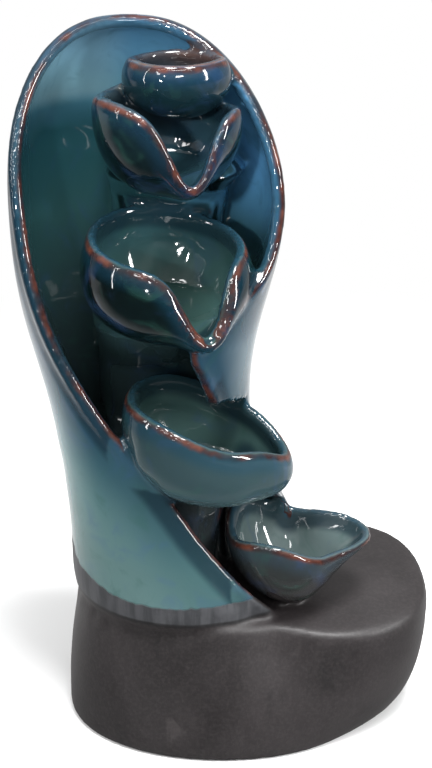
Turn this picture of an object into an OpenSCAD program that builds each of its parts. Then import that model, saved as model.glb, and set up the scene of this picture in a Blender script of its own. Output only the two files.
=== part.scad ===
// Backflow incense burner: a hooded shell on a drum base, with five wavy cups that step down inside it.
// The whole burner is one piece of fired ceramic. Millimetres, +Z up, front towards -Y.
// The origin is the centre of the base's underside. Shell and cup heights count from the platform.

/* [Base] */
// Width of the drum base, left to right
base_w = 116; // [104:1:132]
// Depth of the drum base, front to back
base_d = 80; // [74:1:92]
// Height of the drum base, up to the platform
base_h = 47; // [36:1:60]
// How far the platform's right front edge hangs down
platform_fall = 4.5; // [0:0.5:8]
// How far the drum's side swells out below its top edge
base_swell = 5; // [0:0.5:6]
// How far the drum draws in towards the floor under the platform's right front
base_tuck = 11; // [0:0.5:14]
// Radius of the drum's top and bottom edges
base_edge = 3; // [1.5:0.5:5]
// Thickness of the drum's wall round the hollow underside
base_wall = 7; // [5:0.5:10]
// Thickness of the drum's roof over the hollow underside
base_roof = 8; // [6:0.5:14]

/* [Shell] */
// Height of the shell above the platform
shell_h = 180; // [172:1:196]
// Thickness of the shell's wall
shell_wall = 3.8; // [3:0.2:5]
// Width of the shell at its foot
foot_w = 78; // [70:1:84]
// Width of the shell at its waist
waist_w = 64; // [58:0.5:72]
// Width of the hood at its widest
hood_w = 85; // [78:0.5:94]
// Depth of the shell at its foot
foot_d = 76; // [68:1:80]
// Depth of the shell at its waist
waist_d = 64; // [56:1:74]
// Depth of the hood at its widest
hood_d = 78; // [70:1:90]
// Height of the waist above the platform
waist_z = 52; // [46:1:60]
// Height of the hood's widest section above the platform
hood_z = 126; // [118:1:134]
// How far the hood's top leans back
hood_lean = 19; // [8:1:26]
// How far the rounded rim stands proud of the wall, each side
rim_proud = 0.3; // [0.1:0.1:1]

/* [Cone cup] */
// Distance of the cone cup from the middle, to the right
cup1_x = -22.6; // [-26:0.1:-19]
// Distance of the cone cup from the middle, to the back
cup1_y = 3.4; // [0:0.1:7]
// Height of the cone cup's lip above the platform
cup1_z = 169.7; // [166:0.1:176]
// Radius of the cone cup's lip
cup1_r = 15.4; // [13:0.1:17]
// Depth of the cone cup, from its lip to its underside
cup1_deep = 18; // [16:0.5:20]
// Diameter of the smoke hole through the cone cup's floor
smoke_hole_d = 6.5; // [5:0.5:8]

/* [Second cup] */
// Distance of the second cup from the middle, to the right
cup2_x = -25.2; // [-28:0.1:-22]
// Distance of the second cup from the middle, to the back
cup2_y = -5.2; // [-8:0.1:-2]
// Height of the second cup's lip above the platform
cup2_z = 155.8; // [153:0.1:159]
// Radius of the second cup's lip
cup2_r = 21.4; // [19:0.1:23]
// Depth of the second cup, from its lip to its underside
cup2_deep = 25.5; // [24:0.5:28]
// How far the second cup's spout dips
cup2_dip = 18.1; // [14:0.1:20]

/* [Third cup] */
// Distance of the third cup from the middle, to the right
cup3_x = -25.8; // [-29:0.1:-23]
// Distance of the third cup from the middle, to the back
cup3_y = -11; // [-14:0.1:-8]
// Height of the third cup's lip above the platform
cup3_z = 112.8; // [108:0.1:116]
// Radius of the third cup's lip
cup3_r = 24.4; // [21:0.1:26]
// Depth of the third cup, from its lip to its underside
cup3_deep = 26.5; // [24:0.5:29]
// How far the third cup's spout dips
cup3_dip = 19.2; // [15:0.1:22]

/* [Fourth cup] */
// Distance of the fourth cup from the middle, to the right
cup4_x = -15.4; // [-19:0.1:-12]
// Distance of the fourth cup from the middle, to the back
cup4_y = -19.6; // [-22:0.1:-16]
// Height of the fourth cup's lip above the platform
cup4_z = 58.3; // [55:0.1:62]
// Radius of the fourth cup's lip
cup4_r = 22; // [19:0.1:24]
// Depth of the fourth cup, from its lip to its underside
cup4_deep = 22.5; // [20:0.5:26]
// How far the fourth cup's spout dips
cup4_dip = 7; // [3:0.1:11]

/* [Fifth cup] */
// Distance of the fifth cup from the middle, to the right
cup5_x = 10.4; // [7:0.1:15]
// Distance of the fifth cup from the middle, to the back
cup5_y = -16.3; // [-19:0.1:-13]
// Height of the fifth cup's lip above the platform
cup5_z = 22.1; // [19:0.1:26]
// Radius of the fifth cup's lip
cup5_r = 19; // [16:0.1:21]
// How far the fifth cup's spout reaches out
cup5_reach = 11.5; // [6:0.1:14]

/* [Cup walls] */
// Thickness of a cup's wall near its lip
cup_wall = 3.6; // [3:0.1:4.5]
// Thickness of a cup's floor
cup_floor = 4; // [3:0.5:6]

/* [Hidden] */
$fn = 24;

// Sides of a cup, of the shell, of the base and of the trunk
CUP_SIDES = 28;
SHELL_SIDES = 26;
BASE_SIDES = 48;
TRUNK_SIDES = 24;
// Rows of the shell below the hood's widest section, and above it
SHELL_ROWS = 22;
HOOD_ROWS = 8;
// How deep the shell and the trunk are sunk into the base, and how far they draw in for each millimetre there
SUNK = 7;
SUNK_DRAW = 0.3;
// Angles round the column, from the front to the right, between which the rims pull the wall's columns
STILL_LEFT = -75;
STILL_RIGHT = -285;

// How the platform's edge departs from a plain oval: how far out, at what angle from the right towards the
// back, and over what spread. Two lobes on the right, the crook between the front lobe and the column's foot,
// and the flatter end under the column
LOBES = [[2, -20, 35], [3, 33, 18], [-5.5, -75, 17], [-1.3, 180, 40]];
// Angle and spread of the drum's fullest side, of its drawn-in side, and of the platform's fall
SWELL_AT = [-118, 50];
TUCK_AT = [-25, 35];
FALL_AT = [-45, 45];
// Share of the swell that goes all the way round
SWELL_ALL = 0.4;
// How square the drum's oval is, and the trunk's: 2 is a plain ellipse
BASE_POWER = 2.4;
TRUNK_POWER = 3.2;
// The hollow's rounded inner edge: distance below its roof, and how far it draws in there
HOLLOW_EDGE = [[6, 1.5], [1.5, 4], [0, 9]];
// Place of the shell's foot and of its waist, towards the back
FOOT_BACK = -1.5;
WAIST_BACK = 2;
// The smoke's way: how far it reaches right, back and up from under the cone cup, and how much wider it ends
SMOKE_OUT = [1, -14, -7];
SMOKE_WIDER = 5;
// How far the room in each cup is carried up over its lip
CLEAR_ABOVE = 3;

// What each number of a cup stands for: place, lip radius, share of oval, heading of the spout in degrees
// from the front towards the right, reach, half angle and dip of the spout, rise of the lip at the back,
// rise of the lip on the spout's right hand, height of the lip's three waves and the angle of their first
// crest, depth, belly (swell of the side past the lip), slant of the side (1 is round, more is straighter),
// how fast the spout fades down the side, and how far the bottom lies right of and behind the lip's middle
X = 0; Y = 1; Z = 2; R = 3; OVAL = 4; HEADING = 5; REACH = 6; SPREAD = 7; DIP = 8; RISE = 9; SIDE = 10;
WAVE = 11; CREST = 12; DEEP = 13; BELLY = 14; SLANT = 15; FADE = 16; FOOT_X = 17; FOOT_Y = 18;
cup1 = [cup1_x, cup1_y, cup1_z, cup1_r, 0, 0, -0.8, 12, 0, 0, 0, 0.3, 60, cup1_deep, 0.2, 0.8, 1, 0.8, 0];
cup2 = [
    cup2_x, cup2_y, cup2_z, cup2_r, -0.04, 23, 0.3, 23, cup2_dip, 5.1, -2, 1.4, 52,
    cup2_deep, 0.08, 0.8, 1, 0, 0
];
cup3 = [
    cup3_x, cup3_y, cup3_z, cup3_r, 0, 30, 1.9, 20, cup3_dip, 9.6, 0, 0.3, 64,
    cup3_deep, 0.22, 0.8, 1, 0, 0
];
cup4 = [
    cup4_x, cup4_y, cup4_z, cup4_r, 0.07, 89, 4.4, 24, cup4_dip, 13, 2.5, 0.7, 0,
    cup4_deep, 0.12, 0.6, -0.3, 9, 1
];
cup5 = [
    cup5_x, cup5_y, cup5_z, cup5_r, -0.05, 98, cup5_reach, 28, 3.5, 3.7, 1.2, 2.4, 10,
    cup5_z + 1, 0, 1.05, 3, 3, -3
];
CUPS = [cup1, cup2, cup3, cup4, cup5];

// A cup's profile up the outside, over the rounded lip and down inside: share of the way up, distance inwards
// in walls, share of the floor's thickness, and drop below the lip in walls
CUP_PROFILE = [
    [0.22, 0, 0, 0], [0.45, 0, 0, 0], [0.66, 0, 0, 0], [0.85, 0, 0, 0.2], [1, 0, 0, 0.45], [1, 0.22, 0, 0.08],
    [1, 0.5, 0, 0], [1, 0.8, 0, 0.1], [1, 1, 0, 0.45], [0.78, 1, 1, 0], [0.45, 1, 1, 0]
];

// Sections of the trunk that carries the cups, from the base up: height above the platform, left side, right
// side, and front. Under each cup it draws back over a few millimetres to a rounded ledge
trunk_sections = [
    [-SUNK, -50, -5, -23],
    [10, -50, -7, -24],
    [under(cup4) + 11, cup4_x - 32, cup4_x + 9, cup4_y - 2],
    [under(cup4) + 14, cup4_x - 31, cup4_x + 8, cup4_y],
    [under(cup4) + 18, cup4_x - 34, cup4_x + 4, behind(cup4)],
    [under(cup4) + 36, cup3_x - 24, cup3_x + 12, behind(cup4)],
    [under(cup3) + 1, cup3_x - 25, cup3_x + 13, cup3_y - 3],
    [under(cup3) + 3, cup3_x - 23, cup3_x + 11, cup3_y - 1],
    [under(cup3) + 8, cup3_x - 19, cup3_x + 17, behind(cup3)],
    [under(cup2) - 5, cup2_x - 20, cup2_x + 19, behind(cup3) - 3],
    [under(cup2) + 3, cup2_x - 21, cup2_x + 24, cup2_y + 2],
    [under(cup2) + 5, cup2_x - 19, cup2_x + 22, cup2_y + 4],
    [under(cup2) + 10, cup2_x - 14, cup2_x + 17, cup2_y + 12],
    [under(cup1), cup1_x - 13, cup1_x + 13, cup1_y - 3],
    [under(cup1) + 4, cup1_x - 11, cup1_x + 11, cup1_y - 1]
];
// Middle of the trunk's foot and of its head
trunk_ends = [[-19, 0, base_h - SUNK], [cup1_x, cup1_y + 10, base_h + under(cup1) + 4]];
// What closes the shell behind the two lower cups: height above the platform, and how far back of the fifth
// cup it starts
backing_sections = [[-SUNK, 2], [under(cup3) - 25, 2], [under(cup3) - 5, 22]];

// The shell's two rims: height above the platform, and angle round the column from the front to the right
left_rim = [
    [-SUNK, 50], [8, 28], [23, 13], [43, -2], [64, -29], [85, -49], [108, -63], [130, -72], [150, -81],
    [shell_h, -89]
];
right_rim = [
    [-SUNK, 105], [12, 98], [35, 75], [60, 50], [76, 38], [88, 29], [97, 42], [104, 66], [116, 80],
    [150, 86], [shell_h, 89]
];
// The middle of the column, to the right, over the height above the platform
column_x = [
    [-SUNK, -18.3], [16, -21.3], [36, -27], [waist_z, -31], [85, -33.8], [hood_z, -32], [154, -34.3],
    [shell_h, -38]
];

// Height of each share of the rows below the hood's widest section: closer where the right rim curls in
row_heights = [[0, -SUNK], [0.3, 30], [0.58, 78], [0.84, 106], [1, hood_z]];

// A soft step from 0 to 1
function soft(t) = (1 - cos(180 * min(1, max(0, t)))) / 2;
function mix(a, b, t) = a + (b - a) * t;
// Reach of an oval, or of a rounder-cornered one, at an angle
function oval(a, w, d, power) = pow(pow(abs(cos(a)) / w, power) + pow(abs(sin(a)) / d, power), -1 / power);
function bump(a, middle, spread) = exp(-pow(turned(a - middle) / spread, 2));
function turned(a) = a - 360 * floor((a + 180) / 360);

// A smooth curve through a table of [place, value] rows
function row_of(table, p, i = 0) = i >= len(table) - 2 || p < table[i + 1][0] ? i : row_of(table, p, i + 1);
function slope_at(table, i) =
    let (a = table[max(0, i - 1)], b = table[min(len(table) - 1, i + 1)])
    (b[1] - a[1]) / (b[0] - a[0]);
function along(table, p) =
    let (
        i = row_of(table, p),
        a = table[i],
        b = table[i + 1],
        h = b[0] - a[0],
        t = min(1, max(0, (p - a[0]) / h))
    )
    a[1] * (1 + 2 * t) * pow(1 - t, 2) + slope_at(table, i) * h * t * pow(1 - t, 2)
    + b[1] * pow(t, 2) * (3 - 2 * t) - slope_at(table, i + 1) * h * pow(t, 2) * (1 - t);

// A solid through a stack of rings with equally many points, closed by a point at each end
module loft(rings, first, last) {
    n = len(rings[0]);
    m = len(rings);
    points = [first, for (ring = rings) each ring, last];
    sides = [
        for (i = [0 : m - 2]) for (j = [0 : n - 1])
            [1 + i * n + j, 1 + (i + 1) * n + j, 1 + (i + 1) * n + (j + 1) % n, 1 + i * n + (j + 1) % n]
    ];
    start = [for (j = [0 : n - 1]) [0, 1 + j, 1 + (j + 1) % n]];
    end = [for (j = [0 : n - 1]) [m * n + 1, 1 + (m - 1) * n + (j + 1) % n, 1 + (m - 1) * n + j]];
    polyhedron([for (p = points) p], concat(start, sides, end), convexity = 8);
}

// The base

// Outline of the drum at an angle from the right, counted towards the back
function base_reach(a, grow) =
    let (
        w = base_w / 2 + grow,
        d = base_d / 2 + grow
    )
    oval(a, w, d, BASE_POWER);
function platform_z(a) = -platform_fall * bump(a, FALL_AT[0], FALL_AT[1]);
function lobes(a, i = 0) =
    i == len(LOBES) ? 0 : LOBES[i][0] * bump(a, LOBES[i][1], LOBES[i][2]) + lobes(a, i + 1);
function base_ring(z, grow, tuck = 0, swell = 0) = [
    for (j = [0 : BASE_SIDES - 1])
        let (
            a = 360 * j / BASE_SIDES,
            up = soft(z / base_h),
            side = mix(bump(a, SWELL_AT[0], SWELL_AT[1]), 1, SWELL_ALL),
            r = base_reach(a, grow) + lobes(a) * up + swell * side - tuck * bump(a, TUCK_AT[0], TUCK_AT[1])
        )
        [r * cos(a), r * sin(a), z + platform_z(a) * up]
];

module base() {
    top = base_h;
    loft([
        base_ring(0, -base_edge * 0.4, base_tuck, base_swell),
        base_ring(base_edge * 0.4, 0, base_tuck * 0.95, base_swell),
        base_ring(top * 0.3, 0, base_tuck * 0.36, base_swell),
        base_ring(top * 0.58, 0, base_tuck * 0.13, base_swell * 0.75),
        base_ring(top * 0.8, 0, base_tuck * 0.02, base_swell * 0.3),
        base_ring(top - base_edge, 0),
        base_ring(top - base_edge * 0.3, -base_edge * 0.3),
        base_ring(top, -base_edge)
    ], [0, 0, 0], [0, 0, top]);
}

// The hollow under the base, open to the floor
module underside() {
    roof = base_h - base_roof - platform_fall;
    loft([
        base_ring(-1, -base_wall),
        for (e = HOLLOW_EDGE) base_ring(roof - e[0], -base_wall - e[1], base_tuck)
    ], [0, 0, -1], [0, 0, roof]);
}

// The shell

function shell_half(foot, waist, hood, z) =
    z < waist_z ? mix(foot, waist, soft(z / waist_z)) / 2 + SUNK_DRAW * min(0, z)
    : mix(waist, hood, soft((z - waist_z) / (hood_z - waist_z))) / 2;
// Middle of the column: it stands left on the base and leans out to the left as it rises
function shell_x(z) = along(column_x, z);
function shell_y(z) = mix(FOOT_BACK, WAIST_BACK, soft(z / waist_z));

// A point of the shell: row 0 to SHELL_ROWS below the hood's widest section, then HOOD_ROWS more to the top
function shell_point(row, angle, inset) =
    row <= SHELL_ROWS
    ? let (z = height_of(row))
      around([shell_x(z), shell_y(z), z], shell_half(foot_w, waist_w, hood_w, z) - inset,
             shell_half(foot_d, waist_d, hood_d, z) - inset, angle)
    : let (
          k = 90 * (row - SHELL_ROWS) / HOOD_ROWS,
          h = shell_h - rim_proud - shell_wall / 2 - hood_z
      )
      around([shell_x(mix(hood_z, shell_h, sin(k))), shell_y(hood_z) + hood_lean * pow(sin(k), 2),
              hood_z + (h + shell_wall / 2 - inset) * sin(k)],
             (hood_w / 2 - inset) * pow(cos(k), 0.84), (hood_d / 2 - inset) * cos(k), angle);
function around(c, w, d, angle) = c + [w * sin(angle), -d * cos(angle), base_h];
function height_of(row) =
    row <= SHELL_ROWS ? along(row_heights, row / SHELL_ROWS)
    : mix(hood_z, shell_h, sin(90 * (row - SHELL_ROWS) / HOOD_ROWS));
function left_of(row) = along(left_rim, height_of(row));
function right_of(row) = along(right_rim, height_of(row));

// Angle of a column of the wall: the rims pull the columns near them, and the back stays still
function column_angle(row, share) =
    mix(STILL_LEFT, STILL_RIGHT, share)
    + (left_of(row) - STILL_LEFT) * pow(1 - share, 2)
    + (right_of(row) - 360 - STILL_RIGHT) * pow(share, 2);

// One row of the wall: outside from the left rim round the back to the right rim, then back along the inside
function shell_ring(row) =
    let (angles = [for (j = [0 : SHELL_SIDES]) column_angle(row, j / SHELL_SIDES)])
    [
        for (a = angles) shell_point(row, a, 0),
        for (j = [SHELL_SIDES : -1 : 0]) shell_point(row, angles[j], shell_wall)
    ];

module wall() {
    top = SHELL_ROWS + HOOD_ROWS - 0.1;
    rings = [for (row = [0 : SHELL_ROWS + HOOD_ROWS - 1]) shell_ring(row), shell_ring(top)];
    n = len(rings[0]);
    m = len(rings);
    half = SHELL_SIDES + 1;
    sides = [
        for (i = [0 : m - 2]) for (j = [0 : n - 1])
            [i * n + j, i * n + (j + 1) % n, (i + 1) * n + (j + 1) % n, (i + 1) * n + j]
    ];
    foot = [for (j = [0 : half - 2]) [j, n - 1 - j, n - 2 - j, j + 1]];
    head = [for (j = [0 : half - 2]) [j, j + 1, n - 2 - j, n - 1 - j] + [1, 1, 1, 1] * (m - 1) * n];
    polyhedron([for (ring = rings) each ring], concat(sides, foot, head), convexity = 10);
}

// The rounded edge that runs up the left rim, over the top and down the right rim
module rim() {
    rows = SHELL_ROWS + HOOD_ROWS;
    left = [for (row = [0 : rows]) shell_point(row, left_of(row), shell_wall / 2)];
    right = [for (row = [rows - 1 : -1 : 0]) shell_point(row, right_of(row), shell_wall / 2)];
    tube(concat(left, right), shell_wall / 2 + rim_proud, 8);
}

function unit(v) = v / norm(v);
module tube(path, radius, sides) {
    m = len(path);
    rings = [
        for (i = [0 : m - 1])
            let (
                along = unit(path[min(m - 1, i + 1)] - path[max(0, i - 1)]),
                out = unit(path[i] - [shell_x(hood_z), shell_y(hood_z) + hood_lean, path[i][2] - 12]),
                u = unit(cross(along, out)),
                v = cross(u, along)
            )
            [
                for (a = [0 : 360 / sides : 359])
                    path[i] + radius * (u * cos(a) - v * sin(a))
            ]
    ];
    loft(rings, path[0], path[m - 1]);
}

// The cups

function spout(cup, t) = exp(-pow(turned(t) / cup[SPREAD], 2));
// A point of the lip, at an angle from the spout, drawn in by an inset
function lip(cup, t, inset = 0, share = 1) =
    let (
        g = spout(cup, t),
        r = cup[R] * (1 + cup[OVAL] * cos(2 * t)) + cup[REACH] * g * pow(share, cup[FADE]) - inset,
        a = cup[HEADING] + t
    )
    [
        cup[X] + r * sin(a),
        cup[Y] - r * cos(a),
        cup[Z] + cup[RISE] * (1 - cos(t)) / 2 - cup[DIP] * g + cup[SIDE] * sin(t)
            + cup[WAVE] * cos(3 * (t - cup[CREST]))
    ];
// A ring of a cup's wall, at a share of the way from the bottom to the lip, with points closer at the spout
function cup_ring(cup, share, inset, floor, drop = 0) = [
    for (j = [0 : CUP_SIDES - 1])
        let (
            t = 360 * j / CUP_SIDES - 20 * sin(360 * j / CUP_SIDES),
            p = lip(cup, t, inset, share),
            c = cup_foot(cup, floor),
            out = pow(sin(90 * share), cup[SLANT]) * (1 + cup[BELLY] * sin(180 * share)),
            up = 1 - cos(90 * share)
        )
        [
            mix(c[0], p[0], out),
            mix(c[1], p[1], out),
            mix(c[2], base_h + p[2] - drop, up)
        ]
];
function cup_foot(cup, floor) = [cup[X] + cup[FOOT_X], cup[Y] + cup[FOOT_Y], base_h + under(cup) + floor];

// One ring of a cup from a row of its profile
function cup_section(cup, row) =
    cup_ring(cup, row[0], cup_wall * row[1], cup_floor * row[2], cup_wall * row[3]);

module cup(cup) {
    loft([for (row = CUP_PROFILE) cup_section(cup, row)], cup_foot(cup, 0), cup_foot(cup, cup_floor));
}

// What a cup holds, carried up over its lip so that nothing fills it from above
module cup_space(cup, above) {
    last = len(CUP_PROFILE) - 1;
    loft([
        for (i = [last : -1 : last - 2]) cup_section(cup, CUP_PROFILE[i]),
        cup_ring(cup, 1, cup_wall * 0.8, 0, -above)
    ], cup_foot(cup, cup_floor), cup_foot(cup, cup[DEEP] + 3 * above));
}

// What fills the shell: the trunk that carries the cups, and the backing

// The room inside the shell, as far as the middle of its wall
module inside() {
    rows = SHELL_ROWS + HOOD_ROWS;
    rings = [
        for (row = [0 : 2 : rows - 1])
            [for (j = [0 : TRUNK_SIDES - 1]) shell_point(row, 360 * j / TRUNK_SIDES, shell_wall / 2)]
    ];
    loft(rings, [shell_x(0), shell_y(0), base_h - SUNK], shell_point(rows, 0, shell_wall / 2));
}

// A level section between two sides, from its front to past the back of the shell
function trunk_ring(z, left, right, front) =
    let (
        back = hood_d / 2 + hood_lean,
        c = [(left + right) / 2, (front + back) / 2],
        w = (right - left) / 2,
        d = (back - front) / 2
    )
    [
        for (j = [0 : TRUNK_SIDES - 1])
            let (
                a = 360 * j / TRUNK_SIDES,
                r = oval(a, w, d, TRUNK_POWER)
            )
            [c[0] + r * cos(a), c[1] + r * sin(a), base_h + z]
    ];
function under(cup) = cup[Z] - cup[DEEP];
function behind(cup) = cup[Y] + cup[R] - cup_wall / 2;

module trunk() {
    loft([for (s = trunk_sections) trunk_ring(s[0], s[1], s[2], s[3])], trunk_ends[0], trunk_ends[1]);
}

// What closes the shell behind the two lower cups, from the trunk to the right rim
module backing() {
    left = cup4_x - 30;
    right = shell_x(0) + foot_w;
    middle = (left + right) / 2;
    front = cup5_y + cup5_r;
    top = backing_sections[2][0];
    loft([
        for (s = backing_sections) trunk_ring(s[0], left, right, front + s[1])
    ], [middle, front + 12, base_h - SUNK], [middle, front + 32, base_h + top]);
}

// The smoke's way: down through the cone cup's floor, and out over the second cup
module smoke_way() {
    from = [cup1[X], cup1[Y], base_h + under(cup1)];
    turn = from + [0, 0, SMOKE_OUT[2]];
    translate(turn)
        cylinder(h = cup_floor - SMOKE_OUT[2] + SMOKE_WIDER, d = smoke_hole_d);
    hull() {
        translate(turn)
            sphere(d = smoke_hole_d + SMOKE_OUT[0], $fn = 16);
        translate(from + SMOKE_OUT)
            sphere(d = smoke_hole_d + SMOKE_WIDER, $fn = 16);
    }
}

// The shell on its base with the trunk inside, hollowed out
module body() {
    difference() {
        union() {
            base();
            wall();
            rim();
            intersection() {
                union() {
                    trunk();
                    backing();
                }
                inside();
            }
        }
        underside();
        for (c = CUPS)
            cup_space(c, CLEAR_ABOVE);
    }
}

module burner() {
    color([0.10, 0.33, 0.36])
        difference() {
            union() {
                body();
                for (c = CUPS)
                    cup(c);
            }
            smoke_way();
        }
}

burner();
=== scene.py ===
"""The looks of a backflow incense burner: glossy broken teal glaze over a bare clay base."""
import math
from collections import namedtuple

import bpy
import numpy as np
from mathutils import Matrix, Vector
from mathutils.kdtree import KDTree


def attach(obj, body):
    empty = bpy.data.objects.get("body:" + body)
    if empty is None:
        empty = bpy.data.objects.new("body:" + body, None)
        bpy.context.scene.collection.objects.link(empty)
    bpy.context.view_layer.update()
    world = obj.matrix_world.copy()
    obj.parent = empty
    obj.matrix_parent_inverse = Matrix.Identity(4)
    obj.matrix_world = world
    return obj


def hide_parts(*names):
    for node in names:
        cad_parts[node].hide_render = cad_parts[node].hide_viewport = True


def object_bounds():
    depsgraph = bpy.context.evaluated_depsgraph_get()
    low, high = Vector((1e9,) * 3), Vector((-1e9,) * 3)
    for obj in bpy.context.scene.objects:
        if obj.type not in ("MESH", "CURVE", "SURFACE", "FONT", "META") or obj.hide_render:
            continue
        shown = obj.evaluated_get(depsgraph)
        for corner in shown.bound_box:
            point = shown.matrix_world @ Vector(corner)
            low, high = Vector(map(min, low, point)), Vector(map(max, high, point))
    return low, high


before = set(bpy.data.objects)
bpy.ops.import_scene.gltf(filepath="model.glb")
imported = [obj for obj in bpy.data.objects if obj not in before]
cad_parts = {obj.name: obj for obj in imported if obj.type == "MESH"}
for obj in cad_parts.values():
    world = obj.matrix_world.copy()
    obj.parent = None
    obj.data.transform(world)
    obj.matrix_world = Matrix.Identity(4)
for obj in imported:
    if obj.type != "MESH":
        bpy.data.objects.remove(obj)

MM = 0.001
CAD_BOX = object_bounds()
NODE = "burner"

# The camera: the photo's height and the focal length in pixels, its sensor in millimetres, the nearest that it
# sees in metres, and where it stands and looks
FRAME_H = 768
FOCAL = 1500
SENSOR = 36.0
NEAREST = 0.01
EYE = Vector((-10.8, -448, 290)) * MM
AIM = Vector((-10.8, 2, 112.5)) * MM

# Height of the base's platform, in millimetres
PLATFORM = 47.0

# The shell as the CAD builds it, in millimetres above the platform: widths, depths and heights of its foot,
# waist and hood, where its middle lies from front to back, how far the hood leans back, and its wall
FOOT_W, WAIST_W, HOOD_W = 78, 64, 85
FOOT_D, WAIST_D, HOOD_D = 76, 64, 78
WAIST_Z, HOOD_Z, SHELL_H = 52, 126, 180
FOOT_Y, WAIST_Y, LEAN = -1.5, 2.0, 19
WALL = 3.8
# The power by which the hood's width closes in towards its top
HOOD_POWER = 0.84
# Height against the column's middle, to the right, and against the angle of each rim round the column
COLUMN_X = (
    (-7, -18.3), (16, -21.3), (36, -27), (52, -31), (85, -33.8), (126, -32), (154, -34.3), (180, -38),
)
LEFT_RIM = (
    (-7, 50), (8, 28), (23, 13), (43, -2), (64, -29), (85, -49), (108, -63), (130, -72), (150, -81),
    (180, -89),
)
RIGHT_RIM = (
    (-7, 105), (12, 98), (35, 75), (60, 50), (76, 38), (88, 29), (97, 42), (104, 66), (116, 80),
    (150, 86), (180, 89),
)
# How far the way out of a rim turns up over the hood
RIM_UPWARDS = 1.2
# How far outside the crest of a rim, against the height, and of a lip its brown line runs, in millimetres
LEFT_BROWN = ((0, 0.4), (80, 0.2), (120, -1.0), (150, -1.0), (180, 1.5))
RIGHT_BROWN = ((0, 1.2), (90, 1.5), (180, 1.5))
LIP_BROWN = 2.3
# Points along each rim and each lip
RIM_POINTS, LIP_POINTS = 240, 360

# The cups: middle, height, radius and share of oval of the lip; heading, reach, half angle and dip of the
# spout; rise of the lip at the back and on the right; height and first crest of its waves; and the depth
Cup = namedtuple("Cup", "x y lip radius oval heading reach spread dip back side wave crest depth")
CUPS = (
    Cup(-22.6, 3.4, 169.7, 15.4, 0, 0, -0.8, 12, 0, 0, 0, 0.3, 60, 18),
    Cup(-25.2, -5.2, 155.8, 21.4, -0.04, 23, 0.3, 23, 18.1, 5.1, -2, 1.4, 52, 25.5),
    Cup(-25.8, -11, 112.8, 24.4, 0, 30, 1.9, 20, 19.2, 9.6, 0, 0.3, 64, 26.5),
    Cup(-15.4, -19.6, 58.3, 22, 0.07, 89, 4.4, 24, 7, 13, 2.5, 0.7, 0, 22.5),
    Cup(10.4, -16.3, 22.1, 19, -0.05, 98, 11.5, 28, 3.5, 3.7, 1.2, 2.4, 10, 23.1),
)
# Waves round each lip, and the cups' wall
LIP_WAVES = 3
CUP_WALL = 3.6
# How far the middle of the lip's rounding lies under the lip, as a share of the wall
LIP_SINK = 0.45

# What counts as a cup's: how far over its lip and under its floor, and how far outside its lip for the inside
# and the outside, in millimetres; the most that the inside faces outwards, and the outside inwards
CUP_SLACK = 3
INSIDE_REACH, OUTSIDE_REACH = 1.5, 6
INSIDE_SLOPE, OUTSIDE_SLOPE = 0.8, 0.3

# What counts as the shell's skin: from where and up to where, as shares of its radius, and over what share it
# fades; how squarely it faces out; and how far past each rim and under the top, in degrees and millimetres
SKIN_FROM, SKIN_TO, SKIN_FADE = 0.9, 1.16, 0.06
SKIN_FACING = 0.4
RIM_OVERLAP, TOP_OVERLAP = 3, 3
LEAST_HALF = 3

# The glaze's lower edge, in millimetres above the platform: on the column against the heading round it, in
# the niche, and on what stands outside the column. The column's foot is taken at one height, and what lies in
# the niche and outside is told by shares of its radius. What is outside counts as no higher than MOST_ABOVE
GLAZE_EDGE = ((-180, 12), (-105, 21), (-65, 11.5), (-25, 6.5), (45, 7), (110, 6), (180, 12))
NICHE_EDGE, OUTER_EDGE = 1.2, 2.5
FOOT_AT = 5.0
NICHE_SHARE, OUTER_SHARE = 0.93, 1.08
MOST_ABOVE = 30

# The mesh: how often each facet is rounded, the angle past which an edge stays sharp, the most that an edge's
# middle is lifted as a share of its length, how near points are made one, the edge of a remeshing cell, in
# millimetres, and the most triangles
ROUNDINGS = 2
SHARP = 38
MOST_LIFT = 0.12
WELD = 1e-3
CELL = 0.9
TRIANGLES = 190000
# Rounds of fairing, everywhere and where the form is calm; its two steps; how a calm place is told
FIRST_FAIRING, CALM_FAIRING = 6, 30
FAIRING_STEPS = (0.55, -0.57)
BEND_ROUNDS, BEND_BLUR, CALM_BLUR = 8, 4, 6
CALM_MOST, CALM_BEND = 1.2, 0.22
# Rounds of blur for the ridges, the wider hollows and the borders between zones
RIDGE_ROUNDS, SWELL_ROUNDS = 12, 60
WIDE_BLUR, FINE_BLUR = 9, 3
# Keeps a division from failing
TINY = 1e-12


def srgb(r, g, b):
    """A colour as a screen shows it, 0 to 255, as linear light."""
    return [(c / 255 / 12.92) if c < 10.3 else ((c / 255 + 0.055) / 1.055) ** 2.4 for c in (r, g, b)] + [1.0]


def length(rows):
    return np.linalg.norm(rows, axis=-1, keepdims=True)


def unit(rows):
    return rows / np.maximum(length(rows), TINY)


# The form's leading lines

def soft(share):
    """Runs from 0 to 1 with level ends."""
    return (1 - np.cos(np.pi * np.clip(share, 0, 1))) / 2


def smooth_table(table, places):
    """A smooth curve through a table of (place, value) rows."""
    place, value = np.array(table, float).T
    slope = np.empty_like(value)
    slope[1:-1] = (value[2:] - value[:-2]) / (place[2:] - place[:-2])
    slope[0] = (value[1] - value[0]) / (place[1] - place[0])
    slope[-1] = (value[-1] - value[-2]) / (place[-1] - place[-2])
    i = np.clip(np.searchsorted(place, places, "right") - 1, 0, len(place) - 2)
    gap = place[i + 1] - place[i]
    t = np.clip((places - place[i]) / gap, 0, 1)
    start = value[i] * (1 + 2 * t) * (1 - t) ** 2 + slope[i] * gap * t * (1 - t) ** 2
    return start + value[i + 1] * t ** 2 * (3 - 2 * t) - slope[i + 1] * gap * t ** 2 * (1 - t)


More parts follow.
